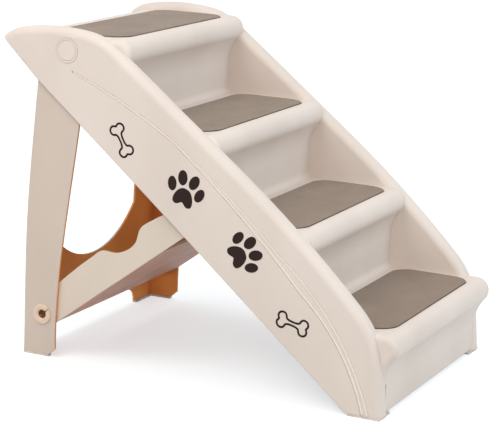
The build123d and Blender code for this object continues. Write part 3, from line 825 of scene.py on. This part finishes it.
@dataclass
class StepMats:
    """Four pile mats, each a tufted sheet on its rubber backing."""

    pitch: float = 0.0016
    corner: float = 0.031
    edge: float = 0.0022
    edge_share: float = 0.35
    end_share: float = 0.25
    tuft: float = 0.00045
    tuft_waves: float = 520.0
    swell: float = 0.0003
    swell_waves: float = 38.0
    drift: float = 10.0
    seed: int = 7
    pile: PilePlush = TAUPE_PILE
    rubber: Rubber = BACKING_RUBBER
    count: int = 4

    def outline_half(self, width: float, length: float, along: float) -> float:
        """Half the mat's width at a place along its length.

        Args:
            width: the mat's whole width.
            length: the mat's whole length.
            along: distance from the middle along the length.

        Returns:
            Half the width there, with the corners rounded.
        """
        past = abs(along) - (length / 2 - self.corner)
        if past <= 0:
            return width / 2
        return width / 2 - self.corner + math.sqrt(max(0.0, self.corner**2 - past**2))

    def tufted(self, number: int, low: Vector, high: Vector) -> bpy.types.Object:
        """Builds one mat as a closed, tufted sheet.

        Args:
            number: the step's number.
            low: lowest corner of the mat's solid.
            high: highest corner of the mat's solid.

        Returns:
            The mat.
        """
        random.seed(self.seed + number)
        size_x, size_y = high.x - low.x, high.y - low.y
        middle = (low + high) / 2
        columns, rows = round(size_x / self.pitch), round(size_y / self.pitch)
        drift = Vector((random.random(), random.random(), random.random())) * self.drift
        mesh = bmesh.new()
        layers: list[list[list[bmesh.types.BMVert]]] = []
        for top in (True, False):
            grid = []
            for row in range(rows + 1):
                turn = math.pi * row / rows
                even = 1 - 2 * row / rows
                along = -size_y / 2 * (self.end_share * math.cos(turn) + (1 - self.end_share) * even)
                half = self.outline_half(size_x, size_y, along)
                line = []
                for column in range(columns + 1):
                    across = half * (2 * column / columns - 1)
                    rim = min(half - abs(across), size_y / 2 - abs(along))
                    z = low.z
                    if top:
                        share = min(1.0, max(0.0, rim / self.edge))
                        crown = math.sqrt(1 - (1 - share) ** 2)
                        full = self.edge_share + (1 - self.edge_share) * crown
                        place = Vector((across, along, 0.0)) + drift
                        z += (high.z - low.z - self.tuft) * full
                        z += self.tuft * noise.noise(place * self.tuft_waves) * share
                        z += self.swell * noise.noise(place * self.swell_waves) * share
                        z = min(z, high.z)
                    line.append(mesh.verts.new((middle.x + across, middle.y + along, z)))
                grid.append(line)
            layers.append(grid)
        upper, under = layers
        for row in range(rows):
            for column in range(columns):
                first, second = (row, column), (row, column + 1)
                third, fourth = (row + 1, column + 1), (row + 1, column)
                mesh.faces.new([upper[r][c] for r, c in (first, second, third, fourth)])
                mesh.faces.new([under[r][c] for r, c in (first, fourth, third, second)])
        rim_path = [(0, column) for column in range(columns)]
        rim_path += [(row, columns) for row in range(rows)]
        rim_path += [(rows, column) for column in range(columns, 0, -1)]
        rim_path += [(row, 0) for row in range(rows, 0, -1)]
        for (row, column), (next_row, next_column) in zip(rim_path, rim_path[1:] + rim_path[:1]):
            low_pair = (under[row][column], under[next_row][next_column])
            mesh.faces.new((*low_pair, upper[next_row][next_column], upper[row][column]))
        return add_piece(f"pile_mat_{number}", mesh, smooth=True)

    def build(self) -> None:
        pile, rubber = self.pile.build(), self.rubber.build()
        for number in range(1, self.count + 1):
            node, backing = f"mat_{number}", f"mat_backing_{number}"
            low, high = (Vector(corner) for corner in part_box(node))
            piece = self.tufted(number, low, high)
            piece.data.materials.append(pile)
            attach(piece, "stairs")
            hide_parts(node)
            dress(backing, rubber)
            LOG.info("%s stands for %s with %d faces", piece.name, node, len(piece.data.polygons))


@dataclass
class RearLeg:
    """The rear leg frame with its snap pins."""

    plastic: MouldedPlastic = FRAME_BEIGE
    pin_plastic: MouldedPlastic = SNAP_TAN

    def build(self) -> None:
        """Dresses the frame and both pins."""
        dress("leg_frame", self.plastic.build())
        pin = self.pin_plastic.build()
        for side in Side:
            dress(f"snap_pin_{side.name.lower()}", pin)


@dataclass
class HookedBrace:
    """The brace between the leg frame and the shell."""

    plastic: MouldedPlastic = BRACE_BEIGE

    def build(self) -> None:
        """Dresses the brace."""
        dress("brace", self.plastic.build())


@dataclass
class FootPads:
    """Front and rear pads under the feet."""

    rubber: Rubber = FOOT_RUBBER

    def build(self) -> None:
        """Dresses the four pads."""
        rubber = self.rubber.build()
        for side in Side:
            for end in ("front", "rear"):
                dress(f"{end}_pad_{side.name.lower()}", rubber)


def background_rays(tree: bpy.types.NodeTree) -> Socket:
    """Marks the rays that show the background: the camera's, and those of gloss and of glass.

    Args:
        tree: the node tree.

    Returns:
        1 for those rays and 0 for all others.
    """
    rays = tree.nodes.new("ShaderNodeLightPath")
    seen = rays.outputs["Is Camera Ray"]
    for kind in ("Is Glossy Ray", "Is Transmission Ray"):
        either = tree.nodes.new("ShaderNodeMath")
        either.operation = "MAXIMUM"
        tree.links.new(seen, either.inputs[0])
        tree.links.new(rays.outputs[kind], either.inputs[1])
        seen = either.outputs["Value"]
    return seen


@dataclass(frozen=True)
class Lamp:
    """One soft rectangular lamp."""

    name: str
    place: Place
    target: Place
    size: float
    power: float
    colour: Colour = (1.0, 1.0, 1.0)

    def build(self) -> bpy.types.Object:
        """Builds the lamp.

        Returns:
            The lamp, turned to its target.
        """
        light = bpy.data.lights.new(self.name, "AREA")
        light.shape = "SQUARE"
        light.size = self.size
        light.energy = self.power
        light.color = self.colour
        lamp = bpy.data.objects.new(self.name, light)
        lamp.location = self.place
        lamp.rotation_euler = (Vector(self.target) - Vector(self.place)).to_track_quat("-Z", "Y").to_euler()
        bpy.context.scene.collection.objects.link(lamp)
        return lamp


@dataclass
class Studio:
    """Camera, floor, lamps and sky."""

    camera_place: Place = (-2.47180, -1.21000, 0.86316)
    yaw: float = -1.1118343
    pitch: float = 0.2316269
    roll: float = 0.0318414
    sensor: float = 36.0
    lens: float = 136.55
    far: float = 60.0
    floor_size: float = 40.0
    floor_white: float = 0.62
    floor_lift: float = 0.57
    floor_tint: Colour = (0.945, 0.98, 1.0)
    floor_roughness: float = 0.9
    sky: float = 0.74
    lamps: tuple[Lamp, ...] = (
        Lamp("key_lamp", (-1.15, 0.45, 1.75), (0.0, 0.2, 0.45), 1.0, 11.0, (1.0, 0.99, 0.975)),
        Lamp("front_lamp", (0.6, -3.4, 2.2), (0.0, 0.0, 0.2), 1.8, 38.5, (0.66, 0.86, 1.0)),
        Lamp("top_lamp", (0.1, 0.4, 3.6), (0.0, 0.0, 0.2), 2.2, 6.0),
        Lamp("side_fill", (-3.2, -1.7, 1.7), (0.0, 0.1, 0.4), 1.0, 26.0, (1.0, 0.985, 0.97)),
    )

    def camera(self) -> None:
        """Sets up the camera at the photograph's place and turn."""
        cos_a, sin_a = math.cos(self.yaw), math.sin(self.yaw)
        cos_e, sin_e = math.cos(self.pitch), math.sin(self.pitch)
        back = Vector((sin_a * cos_e, -cos_a * cos_e, sin_e))
        right = (-back).cross(Vector((0.0, 0.0, 1.0))).normalized()
        up = right.cross(-back)
        cos_r, sin_r = math.cos(self.roll), math.sin(self.roll)
        turned_right = right * cos_r + up * sin_r
        turned_up = up * cos_r - right * sin_r
        turn = Matrix((turned_right, turned_up, back)).transposed().to_4x4()
        data = bpy.data.cameras.new("photo_camera")
        data.sensor_width = self.sensor
        data.sensor_fit = "HORIZONTAL"
        data.lens = self.lens
        data.clip_end = self.far
        camera = bpy.data.objects.new("photo_camera", data)
        camera.matrix_world = Matrix.Translation(Vector(self.camera_place)) @ turn
        bpy.context.scene.collection.objects.link(camera)
        bpy.context.scene.camera = camera

    def floor(self) -> None:
        """Lays a plain pale floor that keeps the shadow."""
        half = self.floor_size / 2
        data = bpy.data.meshes.new("floor")
        corners = [(-half, -half, 0), (half, -half, 0), (half, half, 0), (-half, half, 0)]
        data.from_pydata(corners, [], [(0, 1, 2, 3)])
        floor = bpy.data.objects.new("floor", data)
        bpy.context.scene.collection.objects.link(floor)
        recipe = Recipe("floor_paint")
        white = self.floor_white
        recipe.shader.inputs["Base Color"].default_value = (white, white, white, 1.0)
        recipe.shader.inputs["Roughness"].default_value = self.floor_roughness
        recipe.shader.inputs["Specular IOR Level"].default_value = 0.0
        lift = recipe.compute("MULTIPLY", background_rays(recipe.tree), self.floor_lift)
        recipe.shader.inputs["Emission Color"].default_value = (*self.floor_tint, 1.0)
        recipe.link(lift, recipe.shader.inputs["Emission Strength"])
        data.materials.append(recipe.material)

    def world(self) -> None:
        """Sets an even pale sky."""
        world = bpy.data.worlds.new("sky")
        world.use_nodes = True
        tree = world.node_tree
        background = tree.nodes["Background"]
        background.inputs["Color"].default_value = (1.0, 1.0, 1.0, 1.0)
        seen = tree.nodes.new("ShaderNodeMapRange")
        seen.inputs["To Min"].default_value = self.sky
        seen.inputs["To Max"].default_value = 1.0
        tree.links.new(background_rays(tree), seen.inputs["Value"])
        tree.links.new(seen.outputs["Result"], background.inputs["Strength"])
        bpy.context.scene.world = world

    def build(self) -> None:
        """Builds the whole studio."""
        self.camera()
        self.floor()
        self.world()
        for lamp in self.lamps:
            lamp.build()
        bpy.context.scene.view_settings.view_transform = "Standard"
        LOG.info("studio with %d lamps", len(self.lamps))


def main() -> None:
    """Builds the stairs' sub-assemblies in order."""
    logging.basicConfig(level=logging.INFO, format="%(name)s: %(message)s")
    Studio().build()
    for part in (StairShell(), StepMats(), RearLeg(), HookedBrace(), FootPads()):
        part.build()
        LOG.info("%s is ready", type(part).__name__)


if __name__ == "__main__":
    main()
